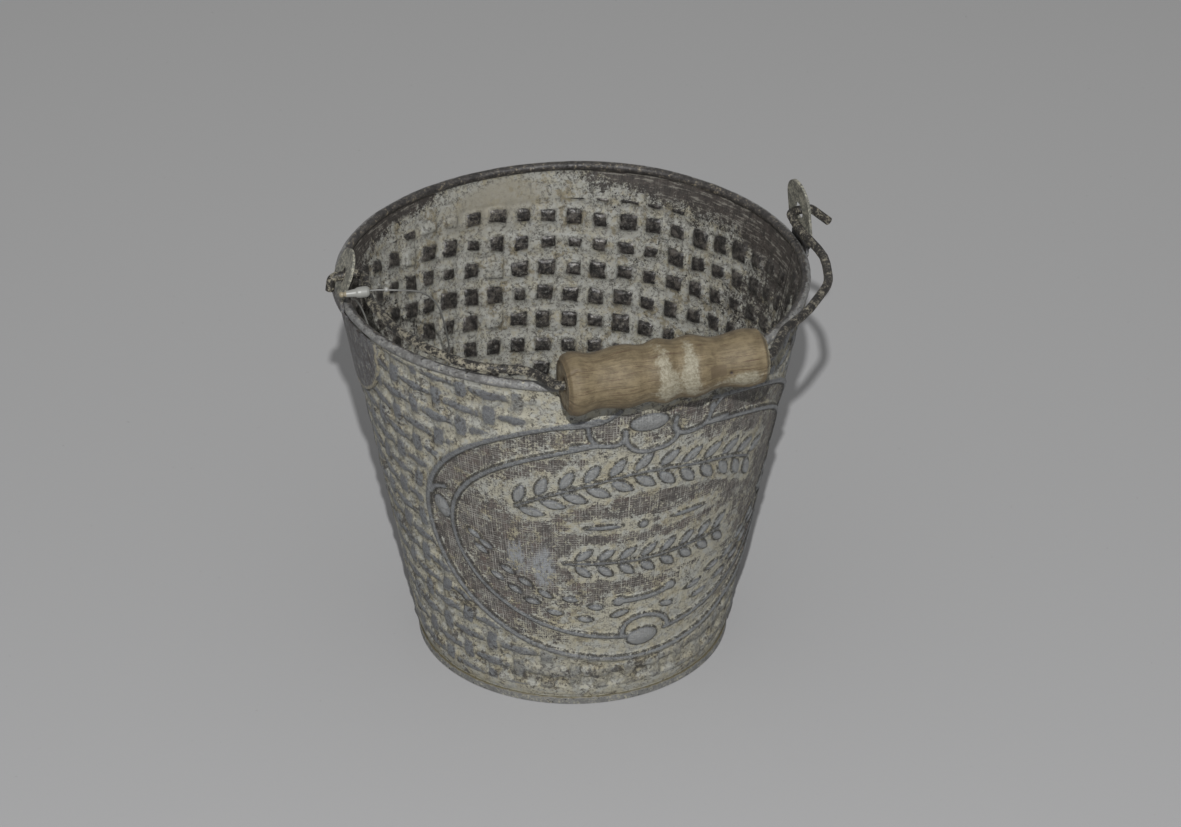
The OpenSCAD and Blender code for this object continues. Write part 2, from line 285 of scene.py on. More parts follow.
def sheet_look(name, inside):
    """Stamped zinc sheet: cream wash in the hollows, crackled and rubbed to brown, worn high edges, and a
    painted highlight along the panel's raised lines.
    """
    k = Look(name)
    edge, zone, wash = k.attribute("edge"), k.attribute("zone"), k.attribute("wash")
    rub, turned = k.attribute("rub"), k.attribute("turned")
    flat = k.attribute("flat", vector=True)

    def by_zone(in_weave, in_panel):
        return k.ramp(zone, 0, 1, in_weave, in_panel)

    fine = k.noise(0.62, 4, 0.72)
    grit = k.noise(1.15, 4, 0.75, shift=83.0)
    mid = k.noise(2.6, 4, 0.65, shift=11.0)
    broad = k.noise(9.0, 3, 0.6, shift=37.0)
    huge = k.noise(30.0, 2, 0.5, shift=71.0)
    # dark ground, with the linen marks of the panel
    u, v, _ = k.split(flat)
    wander = k.times(k.noise(2.0, 2, 0.5, at=flat, shift=3.0), 0.78)
    warp_u = k.maths("SINE", k.add(k.times(u, 7.1), wander))
    warp_v = k.maths("SINE", k.add(k.times(v, 6.6), wander))
    mask_u = k.noise(1.5, 3, 0.7, at=flat, stretch=(1.6, 0.22, 1), shift=7.0)
    mask_v = k.noise(1.5, 3, 0.7, at=flat, stretch=(0.22, 1.6, 1), shift=29.0)
    thread_u = k.ramp(k.add(k.times(warp_u, 0.16), mask_u), 0.56, 0.66)
    thread_v = k.ramp(k.add(k.times(warp_v, 0.16), mask_v), 0.56, 0.66)
    threads = k.maths("MAXIMUM", k.times(thread_u, 0.9), k.times(thread_v, 0.75))
    streak = k.noise(6.0, 3, 0.6, at=flat, stretch=(1, 0.4, 1), shift=19.0)
    streak = k.ramp(k.add(streak, k.times(rub, 0.30)), 0.46, 0.70)
    red = k.mix(k.ramp(broad, 0.40, 0.62), BROWN, rgb(79, 68, 63))
    if inside:
        scratch = k.noise(0.9, 4, 0.7, at=flat, stretch=(0.10, 1.0, 1), shift=43.0)
        ground = k.mix(k.ramp(mid, 0.35, 0.65), rgb(40, 36, 33), rgb(57, 51, 47))
        ground = k.over(ground, rgb(112, 109, 102), k.add(scratch, k.swing(mid, 0.4)), 0.54, 0.62, 0.8)
        threads = k.times(threads, 0.25)
    else:
        ground = k.mix(k.ramp(mid, 0.35, 0.65), red, rgb(86, 82, 78))
    ground = k.over(ground, BLACK, grit, 0.44, 0.34)
    shown = k.times(threads, k.ramp(streak, 0, 1, 0.50, 1.0), by_zone(0.35, 1))
    ground = k.mix(shown, ground, rgb(140, 138, 132))
    if not inside:
        brushed = k.noise(1.2, 4, 0.7, at=flat, stretch=(1.3, 0.14, 1), shift=47.0)
        rubbed = k.ramp(k.add(rub, k.swing(brushed, 1.9)), 0.55, 1.1, 0.0, 0.85)
        ground = k.mix(k.times(rubbed, by_zone(0, 1)), ground, rgb(124, 127, 130))
        dusk = k.noise(2.2, 4, 0.7, at=flat, stretch=(1.0, 0.35, 1), shift=63.0)
        ground = k.mix(k.times(k.ramp(dusk, 0.50, 0.58, 0, 0.7), by_zone(0, 1)), ground, rgb(58, 55, 53))
    # cream wash
    cream = k.mix(k.ramp(broad, 0.46, 0.66), CREAM, CREAM_WARM)
    cream = k.over(cream, CREAM_GREY, k.noise(3.6, 3, 0.6, shift=53.0), 0.44, 0.60)
    cream = k.over(cream, rgb(112, 109, 98), k.add(grit, k.times(mid, 0.3)), 0.60, 0.50, 0.35)
    cream = k.over(cream, rgb(156, 154, 144), k.add(fine, k.times(mid, 0.35)), 0.78, 0.92)
    if inside:
        cream = k.over(cream, CREAM_GREY, k.noise(5.0, 3, 0.6, shift=61.0), 0.42, 0.58)
        amount = k.add(wash, k.times(broad, 0.7), k.times(mid, 0.7), k.times(huge, 0.3), -0.80)
    else:
        near = k.ramp(k.add(edge, k.times(mid, 0.8)), 1.9, 0.9)
        in_panel = k.add(k.times(near, 0.22), wash, -0.38)
        in_weave = k.add(wash, 0.20)
        patchy = k.swing(k.noise(5.0, 4, 0.65, shift=67.0), by_zone(0.0, 1.3))
        linen = k.times(k.add(threads, -0.25), by_zone(0.0, 0.16))
        amount = k.add(k.mix(zone, in_weave, in_panel), k.times(mid, 0.75), k.times(broad, 0.65),
                       linen, patchy, -0.66)
    # sound where it is thick, broken up into specks where it is thin
    thick = k.add(amount, k.swing(grit, 1.5), k.swing(fine))
    cover = k.ramp(thick, 0.14, 0.24)
    crackle = k.maths("ABSOLUTE", k.add(k.noise(3.4, 4, 0.7, shift=91.0), -0.5))
    cracks = k.times(k.ramp(crackle, 0.032, 0.010), k.ramp(grit, 0.44, 0.52))
    if inside:
        pale = k.noise(1.7, 4, 0.75, shift=33.0)
        cream = k.mix(0.22, cream, rgb(84, 80, 70))
        tan = k.ramp(k.add(k.noise(7.0, 3, 0.6, shift=77.0), k.swing(mid, 0.3)), 0.58, 0.64, 0, 0.75)
        cream = k.mix(tan, cream, rgb(106, 98, 78))
        cream = k.over(cream, rgb(138, 139, 136), pale, 0.52, 0.60, 0.60)
        sound = k.ramp(wash, 0.62, 0.92, 1.0, 0.3)
        cream = k.over(cream, rgb(114, 107, 90), wash, 0.56, 0.90, 0.55)
        cracks = k.times(cracks, sound)
        cream = k.mix(k.times(k.ramp(pale, 0.46, 0.37, 0, 0.65), sound), cream, rgb(72, 69, 64))
    cover = k.times(cover, k.ramp(cracks, 0, 1, 1.0, 0.25))
    colour = k.mix(cover, ground, cream)
    # worn high edges, and a painted highlight along the panel's raised lines
    loose = by_zone(1.0, 0.55)
    ragged = k.add(edge, k.swing(mid, 1.2, loose), k.swing(grit, 1.2, loose))
    top = k.ramp(k.add(ragged, by_zone(0.0, 0.16)), 0.16, -0.16)
    line = k.ramp(k.add(edge, k.swing(fine, 0.6)), 0.75, 0.35)
    held = k.add(k.times(mid, 0.55), k.times(grit, 0.45), by_zone(0.0, 0.03))
    outline = k.times(line, k.ramp(held, 0.44, 0.53))
    zinc = k.mix(k.ramp(k.add(k.times(broad, 0.5), k.times(fine, 0.5)), 0.40, 0.58), ZINC_DARK, ZINC)
    if inside:
        zinc = k.mix(k.ramp(k.add(mid, k.times(fine, 0.4)), 0.62, 0.86), rgb(36, 34, 33), rgb(78, 74, 70))
        top = k.times(top, k.ramp(k.add(grit, k.times(mid, 0.3)), 0.50, 0.58, 0.55, 1.0))
    else:
        spots = k.times(k.ramp(k.add(grit, k.times(mid, 0.4)), 0.66, 0.60), 0.7)
        zinc = k.mix(k.times(spots, by_zone(0.8, 0.3)), zinc, BROWN)
        # painted highlight: the middle of the panel's raised lines is coloured a paler zinc, standing in for
        # the shine of the light on them
        crown = k.ramp(k.add(edge, k.swing(mid, 0.8)), -0.35, -0.85)
        zinc = k.mix(k.times(crown, by_zone(0, 0.75)), zinc, rgb(134, 135, 134))
        worn_over = k.ramp(k.add(rub, k.times(broad, 0.4), k.times(fine, 0.2)), 0.5, 1.0)
        worn_over = k.times(worn_over, by_zone(1, 0))
        top = k.times(top, k.ramp(worn_over, 0, 1, 1.0, 0.30))
        specks = k.noise(1.4, 4, 0.8, shift=57.0)
        dirt = k.ramp(k.add(specks, k.swing(broad, 0.7), k.swing(mid, 0.4)), 0.585, 0.635)
        dirt = k.times(dirt, by_zone(0.80, 0.35))
    colour = k.mix(k.times(outline, 0.35 if inside else by_zone(0.45, 0.88)), colour, BLACK)
    colour = k.mix(top, colour, zinc)
    scuff = k.times(k.ramp(k.add(fine, k.times(mid, 0.4)), 0.76, 0.86), k.ramp(wash, 0.2, 0.9, 0.15, 0.7))
    colour = k.mix(scuff, colour, cream)
    if not inside:
        colour = k.mix(dirt, colour, rgb(50, 46, 43))
    # the rolled rim: bare outside, dark and mottled inside
    tone, _ = aged(k, rgb(86, 85, 83), rgb(116, 116, 115), CREAM, -0.06, 5.0)
    under, _ = aged(k, rgb(37, 35, 34), rgb(64, 61, 59), rgb(118, 110, 94), -0.04, 15.0)
    rim = k.mix(k.ramp(k.add(turned, k.swing(mid, 0.7)), 1.38, 1.52), tone, under)
    on_rim = k.ramp(turned, 0.15, 0.30)
    colour = k.mix(on_rim, colour, rim)
    top = k.times(top, k.ramp(on_rim, 0, 1, 1, 0))
    rough = k.mix(top, grey(0.70), grey(0.30 if inside else 0.40))
    rough = k.mix(on_rim, rough, grey(0.42))
    grain = k.add(k.times(fine, 0.12), k.times(mid, 0.12), k.times(cover, 0.14),
                  k.times(threads, k.times(zone, 0.08)), k.times(grit, 0.10))
    return k.finish(colour, rough, k.times(top, 0.22), k.bump(grain))


# ---- the sheet's relief

# Wall section, as in the CAD part.
WAIST_R, WAIST_H, SLOPE, SHEET = 55.7, 8.0, 0.17627, 0.6
BEAD_R, BEAD_Z, BEAD = 78.25, 138.75, 1.75
TILT = math.atan(SLOPE)
# The pattern is laid out on a cone a little wider than the wall, and its angles
# are measured from a line 15 degrees away from the ears' own.
DRAWN_R, DRAWN_H, DRAWN_SLOPE, DRAWN_TURN = 58.4, 9.0, 0.1566, 15.0
FLAT = math.sin(math.atan(DRAWN_SLOPE))
EAR_Z, EAR_R = 135.8, 29.3   # the ears' round plates: height of their centre, and radius
MEAN_R, APART = 68, 40       # for the noise: the wall's mean radius, and what keeps its two sides apart
FAR = 99.0                   # a distance that nothing on the sheet reaches

# Oval medallion: centre and half-axes, in degrees round the wall and millimetres up it.
OUTER = (-67.3, 74.2, 66.4, 52.9)
INNER = (-66.3, 74.0, 58.8, 42.9)
BAND_LEAVES = [(-118.4, 72.3), (-116.7, 66.6), (-112.1, 56.4), (-106.8, 51.8), (-101.8, 47.5), (-95, 43.4),
               (-85.9, 40.4), (-114.9, 68.9), (-108.8, 60), (-103.6, 55.6), (-97.8, 51.2), (-90.4, 49.4),
               (-82.7, 45.5)]
CREST = [
    ([(-92.7, 122.7), (-85.9, 123.7), (-82.3, 124.8), (-79.6, 127.1), (-78.4, 128.6)], 1.1),
    ([(-90, 114.5), (-87, 115.0), (-83.4, 115.0), (-79.2, 114.5), (-77.0, 116.5), (-76.7, 119.8)], 1.1),
    ([(-83.4, 115.0), (-85.3, 117.9), (-85.9, 122.3)], 0.9),
    ([(-76.7, 119.8), (-76.3, 115.3), (-74.1, 111.8), (-71.0, 110.6), (-68, 111.0), (-65.2, 111.8),
      (-63.1, 114.2), (-63.3, 117.5)], 1.1),
    ([(-63.7, 122.2), (-63.8, 117.9), (-61.8, 115.4), (-58.4, 115.0), (-55.0, 116.2), (-53.6, 119.9),
      (-53.5, 123.2)], 1.1),
    ([(-55.0, 116.2), (-51.5, 116.3), (-48.0, 115.9)], 1.1),
    ([(-53.6, 119.9), (-51, 124.2), (-48, 125.2)], 1.0),
    ([(-74.4, 31.5), (-73.8, 35.9), (-71.5, 38.4), (-67.1, 39.3), (-62.7, 37.9), (-59.7, 35.0),
      (-58.5, 31.5)], 1.0),
    ([(-75.2, 47.6), (-72.4, 47.2), (-67.6, 47.3), (-63.5, 47.9), (-60, 49.2)], 1.2),
    ([(-126.0, 89), (-129.5, 87.6), (-131.5, 84.5)], 1.0),
    ([(-8.6, 89), (-5.1, 87.6), (-3.1, 84.5)], 1.0),
]
# raised ovals: angle, height, half-width and half-height in millimetres, tilt in degrees
BOSSES = [(-70.7, 122.3, 6.6, 3.6, 0), (-128.4, 79.5, 3.2, 4.6, 18), (-6.2, 79.5, 3.2, 4.6, -18),
          (-67.3, 29.8, 5.6, 3.9, 0), (-75.6, 47.2, 2.2, 1.9, 30), (-59.2, 49.4, 2.2, 1.8, -20),
          (-75.2, 41.7, 3.2, 1.3, 18), (-59.8, 41.7, 2.7, 1.3, -18)]
# two bars and a dot between the garlands
BARS = [(-81.2, 80.0, 6.4, 0.9, 0), (-55.9, 80.0, 6.4, 0.9, 0), (-70.0, 79.6, 1.6, 1.6, 0)]


def drawn_r(z):
    return DRAWN_R + (z - DRAWN_H) * DRAWN_SLOPE


def local(theta, z, at, height):
    """Millimetres along and up the sheet from a place on it; theta is in the medallion's frame."""
    return drawn_r(z) * np.radians(theta - at), (z - height) / math.cos(TILT)


def ellipse_distance(x, y, a, b):
    """Distance outwards from an ellipse's line, negative inside."""
    q = np.hypot(x / a, y / b) + 1e-6
    return (q - 1) / (np.hypot(x / a ** 2, y / b ** 2) / q + 1e-6)


def oval_distance(theta, z, oval):
    at, height, wide, tall = oval
    x, y = local(theta, z, at, height)
    return ellipse_distance(x, y, np.radians(wide) * drawn_r(z), tall / math.cos(TILT))


def line_distance(theta, z, route):
    """Distance from a curved line through the route's places."""
    best = np.full(theta.shape, FAR)
    curve = catmull(route, 4)
    for p, q in zip(curve[:-1], curve[1:]):
        x, y = local(theta, z, p[0], p[1])
        r = drawn_r(p[1])
        dx, dy = r * math.radians(q[0] - p[0]), (q[1] - p[1]) / math.cos(TILT)
        t = np.clip((x * dx + y * dy) / (dx * dx + dy * dy + 1e-9), 0, 1)
        best = np.minimum(best, np.hypot(x - t * dx, y - t * dy))
    return best


def tilted(theta, z, at, height, tilt):
    """Millimetres along and across a line through a place, tilted by so many degrees."""
    x, y = local(theta, z, at, height)
    c, s = math.cos(math.radians(tilt)), math.sin(math.radians(tilt))
    return x * c + y * s, -x * s + y * c


def leaf_distance(theta, z, at, height, long, wide, tilt):
    """Distance from an almond-shaped leaf's edge, negative inside."""
    along, across = tilted(theta, z, at, height, tilt)
    reach = (long ** 2 / wide - wide) / 2          # two arcs meet at the leaf's tips
    return np.hypot(along, np.abs(across) + reach) - (reach + wide)


def boss_distance(theta, z, at, height, a, b, tilt):
    return ellipse_distance(*tilted(theta, z, at, height, tilt), a, b)


def garland(route, pitch, long, wide, spread):
    """Leaves in pairs along a line: (angle, height, half-length, half-width, tilt)."""
    curve = catmull(route, 12)
    r = drawn_r(curve[:, 1].mean())
    flat = np.column_stack([np.radians(curve[:, 0]) * r, curve[:, 1] / math.cos(TILT)])
    run = np.concatenate([[0], np.cumsum(np.hypot(*np.diff(flat, axis=0).T))])

    def place(s):
        return np.interp(s, run, flat[:, 0]), np.interp(s, run, flat[:, 1])

    leaves = []
    for k in range(int(run[-1] // pitch) + 1):
        s = k * pitch + (run[-1] % pitch) / 2
        (x0, y0), (x, y), (x1, y1) = place(s - 1), place(s), place(s + 1)
        turn = math.degrees(math.atan2(y1 - y0, x1 - x0))
        for side in (-1, 1):
            a = math.radians(turn + side * 50)
            lx, ly = x + math.cos(a) * (long + 0.9), y + math.sin(a) * (long + 0.9)
            leaves.append((math.degrees(lx / r), ly * math.cos(TILT), long, wide, turn + side * spread))
    return leaves


ARC = [(-105, 88.5), (-96, 94.2), (-82.7, 99.3), (-69.6, 101.8), (-54.8, 99.7), (-44, 96.5), (-35, 91.5)]
LINE = [(-92, 65), (-80, 64.6), (-67, 64.4), (-54, 64.8), (-42, 65.4)]
GARLANDS = garland(ARC, 8.3, 4.5, 1.9, 42) + garland(LINE, 7.4, 3.7, 1.6, 42)


def weave(theta, z, centre, pitch, origin):
    """A square weave, stamped in the flat sheet before it was bent round.

    Gives the strips' height, the distance from the nearest sunk square's edge, and that square's place.
    """
    r = drawn_r(z)
    rho, phi = r / FLAT, np.radians(theta - centre) * FLAT
    u = (rho * np.sin(phi) - origin[0]) / pitch[0]
    v = (rho * np.cos(phi) - origin[1]) / pitch[1]
    # a little wander, so that no two squares are alike
    u = u + 0.07 * lattice_noise(u * 0.9, v * 0.9, 3) + 0.045 * lattice_noise(u * 2.6, v * 2.6, 4)
    v = v + 0.06 * lattice_noise(u * 0.9, v * 0.9, 5) + 0.045 * lattice_noise(u * 2.6, v * 2.6, 6)
    i, j = np.floor(u), np.floor(v)
    x, y = u - i - 0.5, v - j - 0.5
    over = np.where((i + j) % 2 == 0, 1.0, -1.0)
    # the strips bow over and under each other: long bars across, shorter blocks upright
    bar = (np.cos(math.pi * x * 0.80) ** 2 * (over < 0)
           + np.sin(math.pi * np.clip(np.abs(x) - 0.24, 0, 1)) ** 2 * (over > 0))
    block = np.cos(math.pi * y * 0.92) ** 2 * (over > 0)
    flat_strip = step(2.0, 1.0, np.abs(y * pitch[1] + 0.5)) * (0.10 + 0.90 * np.sqrt(bar))
    tall_strip = step(2.4, 1.4, np.abs(x) * pitch[0]) * (0.10 + 0.90 * np.sqrt(block))
    worn = 0.82 + 0.3 * hashed(i, j, 9)
    high = np.maximum(flat_strip, tall_strip) * worn
    # squares at the grid's corners
    ci, cj = np.round(u), np.round(v)
    size = 2.6 + 0.8 * (hashed(ci, cj, 1) - 0.5)
    dx = np.abs(u - ci) * pitch[0] - size - 0.15
    dy = np.abs(v - cj) * pitch[1] - size - 0.9 * (hashed(ci, cj, 2) - 0.5) + 0.05
    square = np.hypot(np.maximum(dx, 0), np.maximum(dy, 0)) + np.minimum(np.maximum(dx, dy), 0)
    return high, square, (ci, cj)


def medallion(shown, z, around):
    """The panel's raised lines and leaves: height, distance from them, distance from the garlands."""
    # the crest breaks both ovals at the top, and the shell breaks the inner one at the foot
    crest = step(5.0, 2.0, np.abs(shown + 68.5) * 0.4 - 2.2) * step(104, 108, z)
    foot = step(1.2, 0.2, np.abs(shown + 66.4) / 8.6) * step(40, 36, z) * step(29, 30.5, z)
    outer_line = np.abs(around) + 9 * step(0.4, 1.0, crest)
    inner_line = np.abs(oval_distance(shown, z, INNER)) + 9 * step(0.4, 1.0, np.maximum(crest, foot))
    # distance, half-width and height of each line
    lines = [(outer_line, 0.95, 1.0), (inner_line, 0.85, 0.95)]
    lines += [(line_distance(shown, z, route), w * 0.85, 0.95) for route, w in CREST]
    body, near, written = np.zeros(shown.shape), np.full(shown.shape, FAR), np.full(shown.shape, FAR)
    for d, w, h in lines:
        body = np.maximum(body, h * np.sqrt(np.clip(1 - (d / (w + 0.5)) ** 2, 0, 1)))
        near = np.minimum(near, d - w)
    for boss in BOSSES + BARS:
        d = boss_distance(shown, z, *boss)
        w = min(boss[2], boss[3])
        crown = min(1.3, 0.55 + 0.22 * w)
        body = np.maximum(body, crown * np.sqrt(np.clip(-(d - 0.3) / (w + 0.3), 0, 1)))
        near = np.minimum(near, d)
    for at, up in BAND_LEAVES:
        slope = -32 if up > 50 else -12
        for place, long, tilt in ((at, 3.0, slope), (2 * INNER[0] - at, 3.9, -slope)):
            d = leaf_distance(shown, z, place, up, long, 1.3, tilt)
            body = np.maximum(body, 0.95 * step(0.45, -1.0, d))
            near = np.minimum(near, d)
    for leaf in GARLANDS:
        d = leaf_distance(shown, z, *leaf)
        body = np.maximum(body, 0.8 * step(0.35, -0.8, d) * (1 - 0.35 * step(-1.1, -1.7, d)))
        near = np.minimum(near, d)
        written = np.minimum(written, d)
    for route in (ARC, LINE):
        d = line_distance(shown, z, route)
        body = np.maximum(body, 0.6 * step(0.95, 0.3, d))
        near = np.minimum(near, d - 0.55)
        written = np.minimum(written, d)
    for bar in BARS:
        written = np.minimum(written, boss_distance(shown, z, *bar))
    # fluted top of the shell at the foot of the oval
    x, y = local(shown, z, OUTER[0], 30.5)
    flute = step(5.2, 4.4, np.hypot(x, y * 1.25)) * step(-0.5, 1.0, y)
    body = np.maximum(body, flute * (0.45 + 0.25 * np.cos(np.arctan2(x, y + 2.5) * 14)))
    return body, near, written


def relief(theta, height, front):
    """Everything about the sheet at an angle in degrees, in the part's frame, and a height in millimetres."""
    start = 180 if front else 0
    r = WAIST_R + (height - WAIST_H) * SLOPE
    # the same place on the cone that the pattern is laid out on
    shown = theta + DRAWN_TURN - (360 if front else 0)
    middle = -89.6 if front else 90.4
    shown = middle + (shown - middle) * r / drawn_r(height)
    z = height + (0.62 if front else -0.6) * (drawn_r(height) - r)
    turn = np.minimum(np.abs(theta - start), np.abs(theta - (start + 180)))
    seam = turn * np.pi / 180 * r
    if front:
        high, square, cell = weave(shown, z, -88, (9.6, 8.4), (3.6, 2.4))
        around = oval_distance(shown, z, OUTER)
        plain = np.exp(-((shown + 86) / 15) ** 4) * step(121, 125, z)
        cut = step(1.6, 4.2, around) * step(136.4, 134.6, z) * (1 - plain)
    else:
        high, square, cell = weave(shown, z, 69, (9.55, 9.616), (27.2, 489.3))
        cut = step(128.5, 126.0, z)
    cut = cut * step(7.5, 10.0, z) * step(0.8, 2.6, seam)
    x = r * np.radians(shown)
    buckle = 0.30 * lattice_noise(x / 30, z / 34, 21) + 0.12 * lattice_noise(x / 11, z / 12, 22) - 0.2
    buckle = buckle * step(9, 20, z) * step(139, 128, z) * step(0.5, 6, seam)
    depth = 0.80 + 0.3 * hashed(*cell, 7)
    out = cut * (-0.75 * depth * step(0.45, -0.55, square) - 0.12 + 0.62 * high)
    within = cut * (-1.15 * depth * step(0.75, -0.75, square) + 0.5 * high)
    edge = np.where(cut > 0.3, (0.40 - high) * 1.4 + 0.9 * (1 - cut), 1.2)
    if front:
        zone = step(0.6, -0.6, around)
        body, near, written = medallion(shown, z, around)
        base = -0.25 * zone
        out = np.where(around < 0.0, base, out * step(0, 1.6, around))
        out = np.maximum(out, base) * zone + out * (1 - zone)
        out = out + body + buckle
        within = (within + body * 0.75 + base + buckle) * step(5.4, 7.0, seam)
        edge = np.where(around < 1.6, near, np.minimum(edge, near))
        plate = np.full(theta.shape, FAR)
    else:
        zone, written = np.zeros(theta.shape), np.full(theta.shape, FAR)
        # pressed flat under the ears' plates, and smooth beside the bead and the crimp
        plate = np.hypot(r * np.radians(turn), (height - EAR_Z) / math.cos(TILT))
        under = step(29.4, 28.6, plate) * step(139, 137, height)
        out = np.minimum(out + buckle, 0) * under + (out + buckle) * (1 - under)
        out = out * step(137.3, 135.8, height) * step(8, 10, height)
        within = (within + buckle) * step(137.0, 134.0, height) * step(8, 10, height)
    # the sheet keeps half its thickness
    out = np.maximum(out, within - 0.3)
    return dict(out=out, within=within, written=written, edge=edge, square=square, cut=cut,
                zone=zone, shown=shown, plate=plate, cell=cell)


def glow(x, y, spots):
    """Sum of soft patches: where along each way, how wide each way, and amount."""
    total = np.zeros(x.shape)
    for at_x, at_y, wide, tall, amount in spots:
        total += amount * np.exp(-((x - at_x) / wide) ** 2 - ((y - at_y) / tall) ** 2)
    return total


# cream wash outside and inside: middle and half-widths in degrees and millimetres, and how much more
OUT_WASH = [
    (-64, 36, 24, 11, 0.62), (-45, 52, 13, 13, 0.42), (-108, 94, 8, 7, 0.42), (-70, 12, 50, 10, 0.40),
    (-104, 116, 14, 10, 0.22), (-90, 131, 15, 7, 0.25), (-108, 44, 9, 14, -0.12), (-30, 84, 9, 40, 0.12),
    (-160, 70, 22, 60, -0.06), (-72, 111, 20, 5, 0.40), (-98, 24, 20, 8, 0.3), (-70, 22, 34, 4, 0.35),
    (-84, 52, 8, 6, -0.12), (-126, 80, 10, 60, 0.06), (-72, 80, 40, 40, 0.12), (-60, 26, 30, 14, 0.25),
    (-72, 19, 44, 7, 0.22), (-88, 130, 14, 6, 0.20), (-88, 46, 18, 12, 0.16), (-46, 66, 12, 16, 0.14)]
IN_WASH = [
    (108, 133, 18, 10, 0.55), (60, 139, 36, 9, -0.85), (20, 136, 24, 13, -0.6), (150, 138, 30, 6, -0.75),
    (180, 130, 16, 18, -0.5), (124, 120, 22, 18, 0.22), (24, 95, 20, 44, -0.36), (95, 70, 40, 50, 0.06),
    (170, 85, 26, 50, -0.34)]
# rubbed spots: pale streaks in the panel, and strips of the weave that kept their paint
RUBBED = [
    (-106, 65, 3.2, 9, 1.4), (-98, 61, 3.6, 10, 1.5), (-92, 72, 9, 5, 0.3), (-68, 14, 46, 15, 1.0),
    (-90, 132, 16, 6, 0.7), (-100, 128, 10, 5, 0.35), (-20, 40, 20, 40, 0.3)]


# rows on the side seen best and on the other, columns, rows round the bead
FINE_ROWS, COARSE_ROWS, COLUMNS, BEAD_ROWS = 172, 112, 292, 22


def side_caps(heights, n_out, n_bead):
    """Triangles that close a panel's side edges, the outside's rows joined to the inside's in step."""
    outer = list(range(n_out))
    inner = list(range(len(heights) - 1, n_bead - 1, -1))
    strip = []
    i = j = 0
    while i < len(outer) - 1 or j < len(inner) - 1:
        next_out = heights[outer[i + 1]] if i < len(outer) - 1 else math.inf
        next_in = heights[inner[j + 1]] if j < len(inner) - 1 else math.inf
        if next_out <= next_in:
            strip.append((outer[i], outer[i + 1], inner[j]))
            i += 1
        else:
            strip.append((outer[i], inner[j + 1], inner[j]))
            j += 1
    strip += [(n_out - 1, b, b + 1) for b in range(n_out, n_bead)]
    first = np.array(strip) * COLUMNS
    return np.concatenate([first, first[:, ::-1] + COLUMNS - 1])


